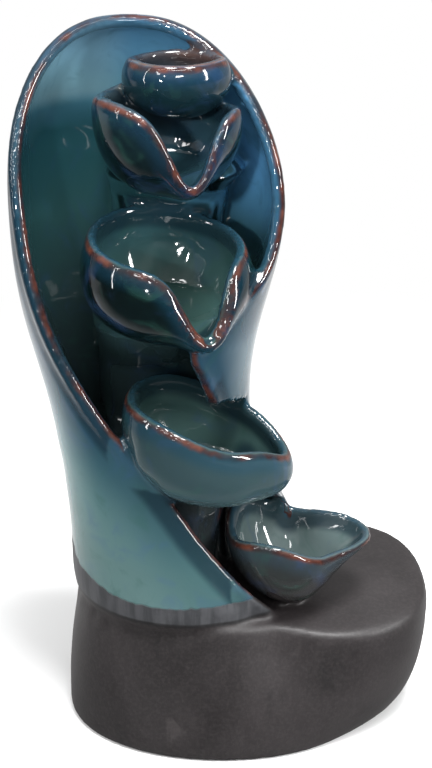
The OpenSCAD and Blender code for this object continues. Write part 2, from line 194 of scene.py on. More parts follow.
def girth(z, foot, waist, hood):
    """A width or depth of the shell that runs softly from its foot's to its waist's and on to its hood's."""
    lower = foot + (waist - foot) * soft(z / WAIST_Z)
    upper = waist + (hood - waist) * soft((z - WAIST_Z) / (HOOD_Z - WAIST_Z))
    return np.where(z < WAIST_Z, lower, upper)


def hood_share(z):
    """How far up the hood's closing part a height lies, from 0 to 1."""
    return np.clip((z - HOOD_Z) / (SHELL_H - HOOD_Z), 0, 1)


def shell_section(z):
    """Middle x and y, half width and half depth of the shell's outside at heights above the platform."""
    above = hood_share(z)
    level = np.sqrt(1 - above ** 2)
    half_w = girth(z, FOOT_W, WAIST_W, HOOD_W) / 2
    half_d = girth(z, FOOT_D, WAIST_D, HOOD_D) / 2
    y = FOOT_Y + (WAIST_Y - FOOT_Y) * soft(z / WAIST_Z) + LEAN * above ** 2
    return smooth_table(COLUMN_X, z), y, half_w * level ** HOOD_POWER, half_d * level


def rim_line(table, opening, brown):
    """The middle of the wall's edge up to the top, the ways out and ahead of it, and where its brown runs."""
    z = SHELL_H * np.sin(np.linspace(0, np.pi / 2, RIM_POINTS))
    angle = np.radians(smooth_table(table, z))
    x, y, half_w, half_d = shell_section(z)
    inset = WALL / 2 * np.minimum(1, half_d / WALL)
    rise = hood_share(z)
    points = np.stack([x + (half_w - inset) * np.sin(angle), y - (half_d - inset) * np.cos(angle), z], 1)
    points += np.stack([0 * rise, 0 * rise, PLATFORM - WALL / 2 * rise], 1)
    out = unit(np.stack([np.sin(angle), -np.cos(angle), RIM_UPWARDS * rise], 1))
    across = np.stack([np.cos(angle), np.sin(angle), 0 * angle], 1) * opening
    facing = np.cross(np.gradient(points, axis=0), out)
    facing *= np.sign((facing * across).sum(1, keepdims=True))
    return points, out, unit(facing), smooth_table(brown, z)


def lip_at(cup, turn):
    """Radius and height above the floor of a cup's lip, at angles in degrees from its spout."""
    turn = (turn + 180) % 360 - 180
    spout = np.exp(-(turn / cup.spread) ** 2)
    t = np.radians(turn)
    radius = cup.radius * (1 + cup.oval * np.cos(2 * t)) + cup.reach * spout
    waves = cup.wave * np.cos(LIP_WAVES * (t - math.radians(cup.crest)))
    height = PLATFORM + cup.lip + cup.back * (1 - np.cos(t)) / 2 - cup.dip * spout + cup.side * np.sin(t)
    return radius, height + waves


def lip_line(cup):
    """The middle of a lip's rounding, the ways out and ahead of it, and where its brown line runs."""
    turn = np.linspace(-180, 180, LIP_POINTS, endpoint=False)
    radius, z = lip_at(cup, turn)
    angle = np.radians(turn + cup.heading)
    out = np.stack([np.sin(angle), -np.cos(angle), 0 * angle], 1)
    points = np.stack([cup.x + 0 * angle, cup.y + 0 * angle, z - CUP_WALL * LIP_SINK], 1)
    points += out * (radius - CUP_WALL / 2)[:, None]
    return points, out, np.tile([0.0, 0.0, 1.0], (len(turn), 1)), np.full(len(turn), LIP_BROWN)


def edge_lines():
    """Every rounded edge that the glaze breaks on: the two rims and the five lips."""
    rims = [rim_line(LEFT_RIM, 1, LEFT_BROWN), rim_line(RIGHT_RIM, -1, RIGHT_BROWN)]
    lines = rims + [lip_line(cup) for cup in CUPS]
    return [np.concatenate(part) for part in zip(*lines)]


def across_edges(points):
    """How far each point lies outside the nearest edge's crest and its brown line, and from the edge."""
    line, out, facing, brown_at = edge_lines()
    tree = KDTree(len(line))
    for i, p in enumerate(line):
        tree.insert(p, i)
    tree.balance()
    index = np.array([tree.find(p)[1] for p in points])
    arm = points - line[index]
    side, ahead = (arm * out[index]).sum(1), (arm * facing[index]).sum(1)
    over = np.arctan2(side, np.maximum(ahead, 0)) * WALL / 2
    across = over + np.sign(side) * np.maximum(-ahead, 0)
    return across, across - brown_at[index], np.linalg.norm(arm, axis=1)


def cup_shares(points, normals):
    """1 on every cup's outside and 0 elsewhere, and the same for the insides."""
    outer, inner = np.zeros(len(points)), np.zeros(len(points))
    for cup in CUPS:
        away = points[:, :2] - (cup.x, cup.y)
        far = np.linalg.norm(away, axis=1)
        radius, lip = lip_at(cup, np.degrees(np.arctan2(away[:, 0], -away[:, 1])) - cup.heading)
        below = lip - points[:, 2]
        level = (below > -CUP_SLACK) & (below < cup.depth + CUP_SLACK)
        facing = (away * normals[:, :2]).sum(1) / np.maximum(far, TINY)
        within = level & (far < radius + INSIDE_REACH) & (below < cup.depth)
        within &= facing < INSIDE_SLOPE * normals[:, 2]
        inner[within] = 1
        outer[level & (far < radius + OUTSIDE_REACH) & (facing > -OUTSIDE_SLOPE) & ~within] = 1
    return outer, inner


def skin_share(points, normals):
    """1 on the outside of the column and the hood, behind the two rims, and 0 elsewhere."""
    z = points[:, 2] - PLATFORM
    x, y, half_w, half_d = shell_section(z)
    u = (points[:, 0] - x) / np.maximum(half_w, LEAST_HALF)
    v = (points[:, 1] - y) / np.maximum(half_d, LEAST_HALF)
    reach = np.hypot(u, v)
    facing = (u * normals[:, 0] + v * normals[:, 1]) / np.maximum(reach, TINY)
    facing += normals[:, 2] * (z > HOOD_Z)
    angle = np.degrees(np.arctan2(u, -v))
    left, right = smooth_table(LEFT_RIM, z), smooth_table(RIGHT_RIM, z)
    behind = (angle < left + RIM_OVERLAP) | (angle > right - RIM_OVERLAP) | (z > SHELL_H - TOP_OVERLAP)
    near = (reach > SKIN_FROM) * np.clip((SKIN_TO - reach) / SKIN_FADE, 0, 1)
    return behind * np.clip(facing / SKIN_FACING, 0, 1) * near


def glaze_height(points):
    """Height of each point above the lower edge of the glaze, in millimetres."""
    x, y, half_w, half_d = (float(v[0]) for v in shell_section(np.array([FOOT_AT])))
    u, v = (points[:, 0] - x) / half_w, (points[:, 1] - y) / half_d
    reach = np.hypot(u, v)
    column_edge = smooth_table(GLAZE_EDGE, np.degrees(np.arctan2(u, -v)))
    edge = np.where(reach < NICHE_SHARE, NICHE_EDGE, column_edge)
    above = points[:, 2] - PLATFORM
    return np.where(reach > OUTER_SHARE, np.minimum(above - OUTER_EDGE, MOST_ABOVE), above - edge)


# Geometry

def read_mesh(mesh):
    """Points in millimetres, and triangles, of a mesh."""
    mesh.calc_loop_triangles()
    points = np.empty(len(mesh.vertices) * 3)
    mesh.vertices.foreach_get("co", points)
    triangles = np.empty(len(mesh.loop_triangles) * 3, np.int32)
    mesh.loop_triangles.foreach_get("vertices", triangles)
    return points.reshape(-1, 3) / MM, triangles.reshape(-1, 3)


def new_mesh(name, points, triangles):
    """A mesh from points in millimetres."""
    mesh = bpy.data.meshes.new(name)
    mesh.from_pydata((points * MM).tolist(), [], triangles.tolist())
    mesh.update()
    return mesh


def new_object(name, data):
    made = bpy.data.objects.new(name, data)
    bpy.context.scene.collection.objects.link(made)
    return made


def welded(points, triangles):
    """The same triangles with points that coincide made one."""
    key = np.round(points / WELD).astype(np.int64)
    _, first, index = np.unique(key, axis=0, return_index=True, return_inverse=True)
    triangles = index.reshape(-1)[triangles]
    keep = (triangles[:, 0] != triangles[:, 1]) & (triangles[:, 1] != triangles[:, 2])
    keep &= triangles[:, 2] != triangles[:, 0]
    return points[first], triangles[keep]


def edge_pairs(triangles):
    """The two points of each side of each triangle."""
    return np.concatenate([triangles[:, [0, 1]], triangles[:, [1, 2]], triangles[:, [2, 0]]])


def triangle_areas(points, triangles):
    """A vector for each triangle that points out of it, twice as long as its area."""
    a, b, c = (points[triangles[:, k]] for k in range(3))
    return np.cross(b - a, c - a)


def corner_angles(points, triangles):
    """The angle at each corner of each triangle, corner by corner."""
    a, b, c = (points[triangles[:, k]] for k in range(3))
    sides = [unit(b - a), unit(c - b), unit(a - c)]
    turn = [np.arccos(np.clip(-(sides[k - 1] * sides[k]).sum(1), -1, 1)) for k in range(3)]
    return np.stack(turn, 1).reshape(-1)


def meeting_corners(corners, size):
    """Every pair of corners that lie on one point, as a list of the first and a list of the second."""
    order = np.argsort(corners, kind="stable")
    count = np.bincount(corners, minlength=size)
    start = np.concatenate([[0], np.cumsum(count)[:-1]])
    reps = count[corners]
    first = np.repeat(np.arange(len(corners)), reps)
    step = np.arange(reps.sum()) - np.repeat(np.cumsum(reps) - reps, reps)
    return first, order[start[corners[first]] + step]


def corner_normals(points, triangles):
    """A normal for each corner of each triangle, smooth across edges that aren't sharp."""
    flat = unit(triangle_areas(points, triangles))
    weight = corner_angles(points, triangles)
    corners = triangles.reshape(-1)
    face = np.repeat(np.arange(len(triangles)), 3)
    mine, other = meeting_corners(corners, len(points))
    near = (flat[face[mine]] * flat[face[other]]).sum(1) > math.cos(math.radians(SHARP))
    mine, other = mine[near], other[near]
    total = np.zeros((len(corners), 3))
    for k in range(3):
        total[:, k] = np.bincount(mine, flat[face[other], k] * weight[other], minlength=len(corners))
    return unit(total).reshape(-1, 3, 3)


def lifted_middles(a, b, normal_a, normal_b):
    """The middle of each edge, lifted on to the curve that the normals at its two ends give."""
    along = b - a
    bend = (along * normal_a).sum(1, keepdims=True) * normal_a
    bend -= (along * normal_b).sum(1, keepdims=True) * normal_b
    lift = bend / -8
    lift *= np.minimum(1, MOST_LIFT * length(along) / np.maximum(length(lift), TINY))
    return (a + b) / 2 + lift


def rounded_once(points, triangles):
    """Each triangle cut in four, with the new points lifted on to the curve that the normals give."""
    normals = corner_normals(points, triangles)
    starts = np.concatenate([normals[:, 0], normals[:, 1], normals[:, 2]])
    ends = np.concatenate([normals[:, 1], normals[:, 2], normals[:, 0]])
    pairs = edge_pairs(triangles)
    lifted = lifted_middles(points[pairs[:, 0]], points[pairs[:, 1]], starts, ends)
    edge = pairs.min(1).astype(np.int64) * len(points) + pairs.max(1)
    index = np.unique(edge, return_inverse=True)[1].reshape(-1)
    count = np.bincount(index)
    middle = np.stack([np.bincount(index, lifted[:, k]) / count for k in range(3)], 1)
    ab, bc, ca = index.reshape(3, -1) + len(points)
    p, q, r = triangles.T
    cut = [(p, ab, ca), (ab, q, bc), (ca, bc, r), (ab, bc, ca)]
    return np.concatenate([points, middle]), np.concatenate([np.stack(corners, 1) for corners in cut])


def with_modifier(made, kind, **settings):
    """Applies one modifier and keeps its result as the object's mesh."""
    modifier = made.modifiers.new(kind.lower(), kind)
    for key, value in settings.items():
        setattr(modifier, key, value)
    bpy.context.view_layer.update()
    seen = made.evaluated_get(bpy.context.evaluated_depsgraph_get())
    result = bpy.data.meshes.new_from_object(seen)
    made.modifiers.clear()
    change_mesh(made, result)


def change_mesh(made, mesh):
    """Gives an object another mesh and removes the one it had."""
    old, made.data = made.data, mesh
    bpy.data.meshes.remove(old)


class Net:
    """The edges of a mesh, for smoothing its points and the values on them."""

    def __init__(self, triangles, size):
        pairs = np.unique(np.sort(edge_pairs(triangles), 1), axis=0)
        self.a = np.concatenate([pairs[:, 0], pairs[:, 1]])
        self.b = np.concatenate([pairs[:, 1], pairs[:, 0]])
        self.size = size
        self.count = np.maximum(np.bincount(self.a, minlength=size), 1)

    def mean(self, values):
        """The mean of each point's neighbours."""
        if values.ndim == 1:
            return np.bincount(self.a, values[self.b], minlength=self.size) / self.count
        return np.stack([self.mean(values[:, k]) for k in range(values.shape[1])], 1)

    def blurred(self, values, rounds):
        for _ in range(rounds):
            values = 0.5 * values + 0.5 * self.mean(values)
        return values

    def faired(self, points, rounds, amount=None):
        """Smooths away small ripples without shrinking the form, each point by its own amount."""
        for _ in range(rounds):
            for step in FAIRING_STEPS:
                move = step * (self.mean(points) - points)
                points = points + (move if amount is None else move * amount[:, None])
        return points


def point_normals(points, triangles):
    """The normal at each point, from the triangles round it by their areas."""
    area = triangle_areas(points, triangles)
    total = np.zeros_like(points)
    for corner in triangles.T:
        for k in range(3):
            total[:, k] += np.bincount(corner, area[:, k], minlength=len(points))
    return unit(total)


def ridge_height(net, points, normals, rounds):
    """How far each point stands proud of the form round it, in millimetres; creases lie below 0."""
    return ((points - net.blurred(points, rounds)) * normals).sum(1)


def store(mesh, name, values):
    attribute = mesh.attributes.new(name, "FLOAT", "POINT")
    attribute.data.foreach_set("value", np.ascontiguousarray(values, np.float32))


def measured(mesh):
    """Puts on each point what the glaze depends on, such as edges and hollows, and names what it put."""
    points, triangles = read_mesh(mesh)
    net = Net(triangles, len(points))
    normals = point_normals(points, triangles)
    outer, inner = cup_shares(points, normals)
    across, brown_line, edge_far = across_edges(points)
    measures = {
        "across": across,
        "brown_line": brown_line,
        "edge_far": edge_far,
        "ridge": ridge_height(net, points, normals, RIDGE_ROUNDS),
        "swell": ridge_height(net, points, normals, SWELL_ROUNDS),
        "cup_outer": net.blurred(outer, WIDE_BLUR),
        "cup_inner": net.blurred(inner, FINE_BLUR),
        "skin": net.blurred(skin_share(points, normals), WIDE_BLUR),
        "glaze_height": net.blurred(glaze_height(points), FINE_BLUR),
    }
    for name, values in measures.items():
        store(mesh, name, values)
    return list(measures)


def softened(points, triangles):
    """The points faired a little everywhere, and much more where the form is calm, so edges stay crisp."""
    net = Net(triangles, len(points))
    points = net.faired(points, FIRST_FAIRING)
    bend = np.abs(ridge_height(net, points, point_normals(points, triangles), BEND_ROUNDS))
    calm = np.clip(CALM_MOST - net.blurred(bend, BEND_BLUR) / CALM_BEND, 0, 1)
    return net.faired(points, CALM_FAIRING, net.blurred(calm, CALM_BLUR))


def in_cad_box(points):
    low, high = (np.array(corner) / MM for corner in CAD_BOX)
    return np.clip(points, low, high)


def ceramic_piece():
    """The fired body: the solid with its facets rounded out and its edges softened."""
    points, triangles = welded(*read_mesh(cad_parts[NODE].data))
    for _ in range(ROUNDINGS):
        points, triangles = rounded_once(points, triangles)
    made = new_object("ceramic_body", new_mesh("facets", points, triangles))
    with_modifier(made, "REMESH", mode="VOXEL", voxel_size=CELL * MM)
    points, triangles = read_mesh(made.data)
    change_mesh(made, new_mesh("body", in_cad_box(softened(points, triangles)), triangles))
    with_modifier(made, "DECIMATE", ratio=min(1, TRIANGLES / len(triangles)))
    mesh = made.data
    inside = in_cad_box(read_mesh(mesh)[0]) * MM
    mesh.vertices.foreach_set("co", inside.reshape(-1))
    mesh.validate()
    mesh.update()
    names = measured(mesh)
    mesh.polygons.foreach_set("use_smooth", np.ones(len(mesh.polygons), bool))
    mesh.materials.clear()
    mesh.materials.append(ceramic(names))
    return made


# Materials

WHITE = (1, 1, 1, 1)
TALL = (PLATFORM + SHELL_H) * MM

# Colours of the glaze up the height, from the floor at 0 to the top at 1
SKIN = (
    (0.28, (78, 102, 102)), (0.42, (84, 116, 118)), (0.55, (98, 126, 136)), (0.68, (88, 108, 120)),
    (0.80, (48, 72, 84)), (0.92, (26, 50, 62)), (1.0, (26, 48, 60)),
)
SKIN_BY_RIM = (
    (0.28, (56, 82, 84)), (0.42, (42, 70, 80)), (0.60, (28, 56, 72)), (0.80, (26, 50, 64)),
    (1.0, (30, 56, 72)),
)
# The niche's colours; the top stops are brightened with painted light, as the hood's inside lies in shade
NICHE_WITH_PAINTED_LIGHT = (
    (0.22, (44, 48, 50)), (0.40, (34, 42, 44)), (0.58, (38, 56, 58)), (0.70, (42, 76, 78)),
    (0.82, (30, 70, 78)), (0.90, (84, 138, 162)), (0.98, (98, 156, 198)),
)
CUP_OUTSIDE = (
    (0.24, (38, 38, 38)), (0.31, (40, 48, 49)), (0.38, (48, 66, 70)), (0.48, (40, 58, 62)),
    (0.55, (8, 24, 26)), (0.70, (4, 13, 14)), (0.82, (3, 9, 10)), (0.92, (16, 36, 42)),
)
CUP_LIP = (
    (0.24, (40, 46, 50)), (0.31, (42, 52, 58)), (0.42, (36, 60, 70)), (0.60, (12, 38, 50)),
    (0.82, (8, 24, 32)), (0.95, (20, 44, 60)),
)
# The cups' insides; the top stop's brown is brightened with painted light, for the shaded inside of the top
# cup
CUP_INSIDE_WITH_PAINTED_LIGHT = (
    (0.28, (84, 98, 98)), (0.40, (60, 84, 82)), (0.50, (56, 82, 80)), (0.62, (54, 80, 76)),
    (0.72, (40, 70, 76)), (0.86, (38, 62, 74)), (0.92, (60, 60, 60)), (0.96, (120, 80, 54)),
)
# Other colours of the glaze, and painted light on it: blue that carries painted light, a painted reflection,
# and painted shade for the skin's right side
BLUE_PAINTED_LIGHT, PAINTED_REFLECTION, SKIN_PAINTED_SHADE = srgb(98, 164, 212), srgb(150, 184, 190), srgb(26, 46, 54)
# Violet and moss patches, and the darkest for hollows, partly pooled glaze and partly painted shade
VIOLET, MOSS, POOLED_AND_SHADED = srgb(46, 68, 108), srgb(40, 74, 66), srgb(10, 24, 26)
# Painted shade for a band along the rims, and the crest
RIM_PAINTED_SHADE, CREST = srgb(16, 34, 45), srgb(34, 68, 86)
BROWN = ((0.3, (24, 14, 16)), (0.5, (50, 25, 20)), (0.66, (88, 48, 35)))
# Colours of the clay
CLAY_DARK, CLAY_LIGHT, GRAIN_LIGHT = srgb(29, 25, 26), srgb(41, 37, 38), srgb(104, 97, 97)
SMUDGE_DARK, SMUDGE_PALE = srgb(24, 22, 23), srgb(66, 61, 61)
BAND_DARK, BAND_LIGHT, SEAM = srgb(50, 53, 57), srgb(68, 70, 74), srgb(18, 17, 18)

# Noises: waves in a metre, detail, roughness and distortion
DRIFT_NOISE = (26, 2, 0.5, 0.6)
PATCH_NOISE = (75, 3, 0.6, 1.0)
FINE_NOISE = (500, 3, 0.6)
BLOTCH_NOISE = (120, 3, 0.55)
RAGGED_NOISE = (110, 3, 0.55)
CLOUD_NOISE = (28, 3, 0.55, 0.8)
GRAIN_NOISE = (900, 3, 0.7)
SMUDGE_NOISE = (55, 3, 0.6, 2.0)
STREAK_NOISE = (330, 3, 0.6)
GLAZE_RELIEF = (95, 2, 0.5)
CLAY_RELIEF = (1100, 2, 0.5)
RIPPLE_NOISE = (420, 2, 0.5)
GLOSS_NOISE = (160, 2, 0.55)
ROUGH_NOISE = (40, 2, 0.55)
# How much a noise is drawn out along each axis
SMUDGE_STRETCH, STREAK_STRETCH = (1.0, 1.0, 0.45), (1.0, 1.0, 0.10)

# Soft steps: from, to and, where they aren't 0 and 1, the values there. Zones are told by blurred shares
IN_ZONE = (0.2, 0.8)
OFF_CUPS = (0.5, 0.2, 0, 0.75)
ON_COLUMN = (0.3, 0.7, 0, 0.75)
ON_INNER_WALL = (0.3, 0.0, 0, 0.4)
# By distance from an edge, and across it from its crest or its brown line, in millimetres; the fourth lays the
# painted shade along the rims
BY_LIP, BY_RIM, EDGE_BAND, PAINTED_SHADE_BAND = (7, 3), (28, 5), (5.5, 3.5), (6.5, 3.5)
EDGE_RIPPLE = (5, 3, 0, 0.22)
CREST_INSIDE, CREST_OUTSIDE = (-2.6, -0.6), (1.8, 0.6)
BROWN_INSIDE, BROWN_OUTSIDE = (-1.8, -0.2), (1.8, 0.2)
# By how far a point stands proud, where hollows take pooled glaze and painted shade, and by its height over
# the glaze's edge, in millimetres
PROUD, LYING_LOW = (-0.1, 0.03), (-0.3, -1.8, 0, 0.4)
BARE = (0.5, -0.5)
# By the place, in metres: to the right and up. They place the blue painted light in the hood, the painted
# reflection high on its left, and the painted shade on the skin's right side
PAINTED_LIGHT_X, PAINTED_LIGHT_Z = (-0.03, 0.004), (0.15, 0.185)
REFLECTION_X, REFLECTION_Z = (-0.035, -0.05), (0.197, 0.202)
PAINTED_SHADE_X = (-0.012, 0.006, 0, 0.55)
# By the height above the platform, and by the distance up or down from it, in metres
BAND_Z, SEAM_Z = (-0.0008, 0.0004), (0.0010, 0.0002)
# By a noise
VIOLET_PATCHES, MOSS_PATCHES = (0.52, 0.74, 0, 0.22), (0.46, 0.26, 0, 0.3)
CREST_BREAKS, BROWN_BREAKS = (0.3, 0.65, 0.1, 0.45), (0.32, 0.55, 0.5, 0.9)
CLOUDS, GRAINS, STREAKS = (0.3, 0.7), (0.4, 0.7), (0.4, 0.62)
DARK_SMUDGES, PALE_SMUDGES = (0.6, 0.7, 0, 0.5), (0.36, 0.26, 0, 0.35)
GLAZE_ROUGHNESS = (0.3, 0.7, 0.04, 0.08)
GRAIN_SHARE = 0.07

# How far noise moves a line: the colours up the height, as a share of it; the brown line, in wide bends and
# fine fraying, and the glaze's lower edge, in millimetres
HEIGHT_DRIFT = 0.10
BROWN_BENDS, BROWN_FRAY = 1.6, 0.7
EDGE_WANDER = 2.4
# The clay's roughness, where its noise is 0, and what its noise adds
CLAY_ROUGHNESS, CLAY_ROUGHNESS_SPAN = 0.42, 0.16
# The bump: its strength on the glaze and on the clay, and its height in metres
BUMP_STRENGTH = (0.0, 1.0, 0.14, 0.05)
BUMP_HEIGHT = 0.0009
GLAZE_IOR = 1.55


class Nodes:
    """Short calls for building a node tree."""

    def __init__(self, tree):
        self.tree = tree
        tree.nodes.clear()

    def put(self, kind, inputs=None, **settings):
        """A new node with its settings, and its inputs linked or set."""
        node = self.tree.nodes.new(kind)
        for key, value in settings.items():
            setattr(node, key, value)
        for key, value in (inputs or {}).items():
            self.feed(node.inputs[key], value)
        return node

    def feed(self, socket, value):
        if isinstance(value, bpy.types.NodeSocket):
            self.tree.links.new(value, socket)
        else:
            socket.default_value = value

    def math(self, operation, a, b=0.0, c=0.0):
        return self.put("ShaderNodeMath", {0: a, 1: b, 2: c}, operation=operation).outputs[0]

    def both(self, a, b):
        """The product of two shares: it is 1 where both are."""
        return self.math("MULTIPLY", a, b)

    def moved(self, value, noise, span):
        """A value that noise moves up and down within a span."""
        return self.math("MULTIPLY_ADD", self.math("SUBTRACT", noise, 0.5), span, value)

    def step(self, value, low, high, to_low=0.0, to_high=1.0):
        """A soft step: to_low where value is at low, to_high where it is at high."""
        node = self.put(
            "ShaderNodeMapRange",
            {"Value": value, "From Min": low, "From Max": high, "To Min": to_low, "To Max": to_high},
            interpolation_type="SMOOTHSTEP",
        )
        return node.outputs[0]

    def mix(self, share, a, b):
        """A colour that runs from a to b as the share rises."""
        node = self.put("ShaderNodeMix", data_type="RGBA")
        self.feed(node.inputs[0], share)
        self.feed(node.inputs[6], a)
        self.feed(node.inputs[7], b)
        return node.outputs[2]

    def mix_numbers(self, share, a, b):
        """A number that runs from a to b as the share rises."""
        return self.put("ShaderNodeMix", {0: share, 2: a, 3: b}).outputs[0]

    def ramp(self, value, stops):
        """A colour that runs through (place, screen colour) stops as the value rises."""
        node = self.put("ShaderNodeValToRGB", {0: value})
        points = node.color_ramp.elements
        while len(points) < len(stops):
            points.new(1.0)
        for point, (place, colour) in zip(points, stops):
            point.position, point.color = place, srgb(*colour)
        return node.outputs[0]

    def noise(self, place, scale, detail, roughness, distortion=0.0):
        return self.put(
            "ShaderNodeTexNoise",
            {
                "Vector": place,
                "Scale": scale,
                "Detail": detail,
                "Roughness": roughness,
                "Distortion": distortion,
            },
        ).outputs[0]

    def place(self):
        """Where a point lies on the object, in metres."""
        return self.put("ShaderNodeTexCoord").outputs["Object"]

    def axes(self, vector):
        """The three numbers of a vector."""
        return self.put("ShaderNodeSeparateXYZ", {0: vector}).outputs

    def stretched(self, place, scale):
        return self.put("ShaderNodeMapping", {"Vector": place, "Scale": scale}).outputs[0]

    def attribute(self, name):
        return self.put("ShaderNodeAttribute", attribute_name=name).outputs["Fac"]

    def glow(self, strength):
        return self.put("ShaderNodeEmission", {"Color": WHITE, "Strength": strength}).outputs[0]


def new_material(name):
    """A material and its empty node tree."""
    material = bpy.data.materials.new(name)
    material.use_nodes = True
    return material, Nodes(material.node_tree)


def zone_colour(n, place, at, drift):
    """The glaze's colour in each zone: the niche, the cups' outsides, lips and insides, and the skin, with
    painted light in the hood, a painted reflection high on its left and painted shade on the skin's right
    side.
    """
    x, _, z = n.axes(place)
    tall = n.moved(n.math("DIVIDE", z, TALL), drift, HEIGHT_DRIFT)
    # Blue glaze brightened with painted light on the hood's right inner wall, over the niche's colours
    colour = n.mix(n.both(n.step(x, *PAINTED_LIGHT_X), n.step(z, *PAINTED_LIGHT_Z)), n.ramp(tall, NICHE_WITH_PAINTED_LIGHT), BLUE_PAINTED_LIGHT)
    outside = n.mix(n.step(at["edge_far"], *BY_LIP), n.ramp(tall, CUP_OUTSIDE), n.ramp(tall, CUP_LIP))
    colour = n.mix(n.step(at["cup_outer"], *IN_ZONE), colour, outside)
    # The cups' insides, with painted light at the top
    colour = n.mix(n.step(at["cup_inner"], *IN_ZONE), colour, n.ramp(tall, CUP_INSIDE_WITH_PAINTED_LIGHT))
    skin = n.mix(n.step(at["edge_far"], *BY_RIM), n.ramp(tall, SKIN), n.ramp(tall, SKIN_BY_RIM))
    # Painted shade darkens the skin's right side
    skin = n.mix(n.step(x, *PAINTED_SHADE_X), skin, SKIN_PAINTED_SHADE)
    colour = n.mix(n.step(at["skin"], *IN_ZONE), colour, skin)
    # A painted reflection: a pale patch high on the hood's left inner wall
    corner = n.both(n.step(x, *REFLECTION_X), n.step(z, *REFLECTION_Z))
    inner_wall = n.step(n.math("MAXIMUM", at["skin"], at["cup_outer"]), *ON_INNER_WALL)
    return n.mix(n.both(corner, inner_wall), colour, PAINTED_REFLECTION)


def glaze_colour(n, place, at):
    """Teal that drifts to blue and grey green, darkens in hollows with pooled glaze and painted shade, and
    breaks thin and brown on the edges.
    """
    patch = n.noise(place, *PATCH_NOISE)
    colour = zone_colour(n, place, at, n.noise(place, *DRIFT_NOISE))
    colour = n.mix(n.step(patch, *VIOLET_PATCHES), colour, VIOLET)
    colour = n.mix(n.step(patch, *MOSS_PATCHES), colour, MOSS)
    # Pooled glaze and painted shade darken the hollows
    colour = n.mix(n.step(at["swell"], *LYING_LOW), colour, POOLED_AND_SHADED)
    return edged(n, colour, place, at, patch)


def edged(n, colour, place, at, patch):
    """The band of painted shade, thin pale crest and broken brown line that run along each edge."""
    fine, blotch = n.noise(place, *FINE_NOISE), n.noise(place, *BLOTCH_NOISE)
    edge = n.both(n.step(at["edge_far"], *EDGE_BAND), n.step(at["ridge"], *PROUD))
    # Painted shade in a band along the rims, away from the cups
    rim_shade_mask = n.both(n.step(at["edge_far"], *PAINTED_SHADE_BAND), n.step(at["cup_outer"], *OFF_CUPS))
    colour = n.mix(rim_shade_mask, colour, RIM_PAINTED_SHADE)
    crest = n.both(n.step(at["across"], *CREST_INSIDE), n.step(at["across"], *CREST_OUTSIDE))
    crest = n.both(crest, n.step(fine, *CREST_BREAKS))
    colour = n.mix(n.both(edge, crest), colour, CREST)
    wander = n.moved(n.moved(at["brown_line"], patch, BROWN_BENDS), fine, BROWN_FRAY)
    line = n.both(n.step(wander, *BROWN_INSIDE), n.step(wander, *BROWN_OUTSIDE))
    line = n.both(line, n.step(blotch, *BROWN_BREAKS))
    return n.mix(n.both(edge, line), colour, n.ramp(blotch, BROWN))


def clay_colour(n, place):
    """Dark bare clay with cloudy firing marks and faint smudges."""
    cloud = n.noise(place, *CLOUD_NOISE)
    grain = n.noise(place, *GRAIN_NOISE)
    smudge = n.noise(n.stretched(place, SMUDGE_STRETCH), *SMUDGE_NOISE)
    colour = n.mix(n.step(cloud, *CLOUDS), CLAY_DARK, CLAY_LIGHT)
    colour = n.mix(n.step(smudge, *DARK_SMUDGES), colour, SMUDGE_DARK)
    colour = n.mix(n.step(smudge, *PALE_SMUDGES), colour, SMUDGE_PALE)
    return n.mix(n.both(n.step(grain, *GRAINS), GRAIN_SHARE), colour, GRAIN_LIGHT)


def column_foot(n, place, at, clay):
    """The clay with the streaked band round the column's foot and the thin dark seam under it."""
    streak = n.noise(n.stretched(place, STREAK_STRETCH), *STREAK_NOISE)
    band = n.mix(n.step(streak, *STREAKS), BAND_DARK, BAND_LIGHT)
    column = n.step(at["skin"], *ON_COLUMN)
    above = n.math("SUBTRACT", n.axes(place)[2], PLATFORM * MM)
    colour = n.mix(n.both(n.step(above, *BAND_Z), column), clay, band)
    seam = n.both(n.step(n.math("ABSOLUTE", above), *SEAM_Z), column)
    return n.mix(seam, colour, SEAM)


def ceramic(measures):
    """Glaze over clay: glossy and softly rippled where it is glazed, matt and grainy where it is bare."""
    material, n = new_material("fired_ceramic")
    place = n.place()
    at = {name: n.attribute(name) for name in measures}
    ragged = n.moved(at["glaze_height"], n.noise(place, *RAGGED_NOISE), EDGE_WANDER)
    bare = n.step(ragged, *BARE)
    clay = column_foot(n, place, at, clay_colour(n, place))
    colour = n.mix(bare, glaze_colour(n, place, at), clay)
    ripple = n.both(n.noise(place, *RIPPLE_NOISE), n.step(at["edge_far"], *EDGE_RIPPLE))
    glaze_relief = n.math("ADD", n.noise(place, *GLAZE_RELIEF), ripple)
    relief = n.mix(bare, glaze_relief, n.noise(place, *CLAY_RELIEF))
    strength = n.step(bare, *BUMP_STRENGTH)
    bump = n.put("ShaderNodeBump", {"Height": relief, "Strength": strength, "Distance": BUMP_HEIGHT})
    gloss = n.step(n.noise(place, *GLOSS_NOISE), *GLAZE_ROUGHNESS)
    rough = n.math("MULTIPLY_ADD", n.noise(place, *ROUGH_NOISE), CLAY_ROUGHNESS_SPAN, CLAY_ROUGHNESS)
    roughness = n.mix_numbers(bare, gloss, rough)
    shader = n.put(
        "ShaderNodeBsdfPrincipled",
        {"Base Color": colour, "Roughness": roughness, "Normal": bump.outputs[0], "IOR": GLAZE_IOR},
    )
    n.put("ShaderNodeOutputMaterial", {"Surface": shader.outputs[0]})
    return material


# The stage

FLOOR_HALF = 3.0
FLOOR_COLOUR = srgb(250, 250, 250)
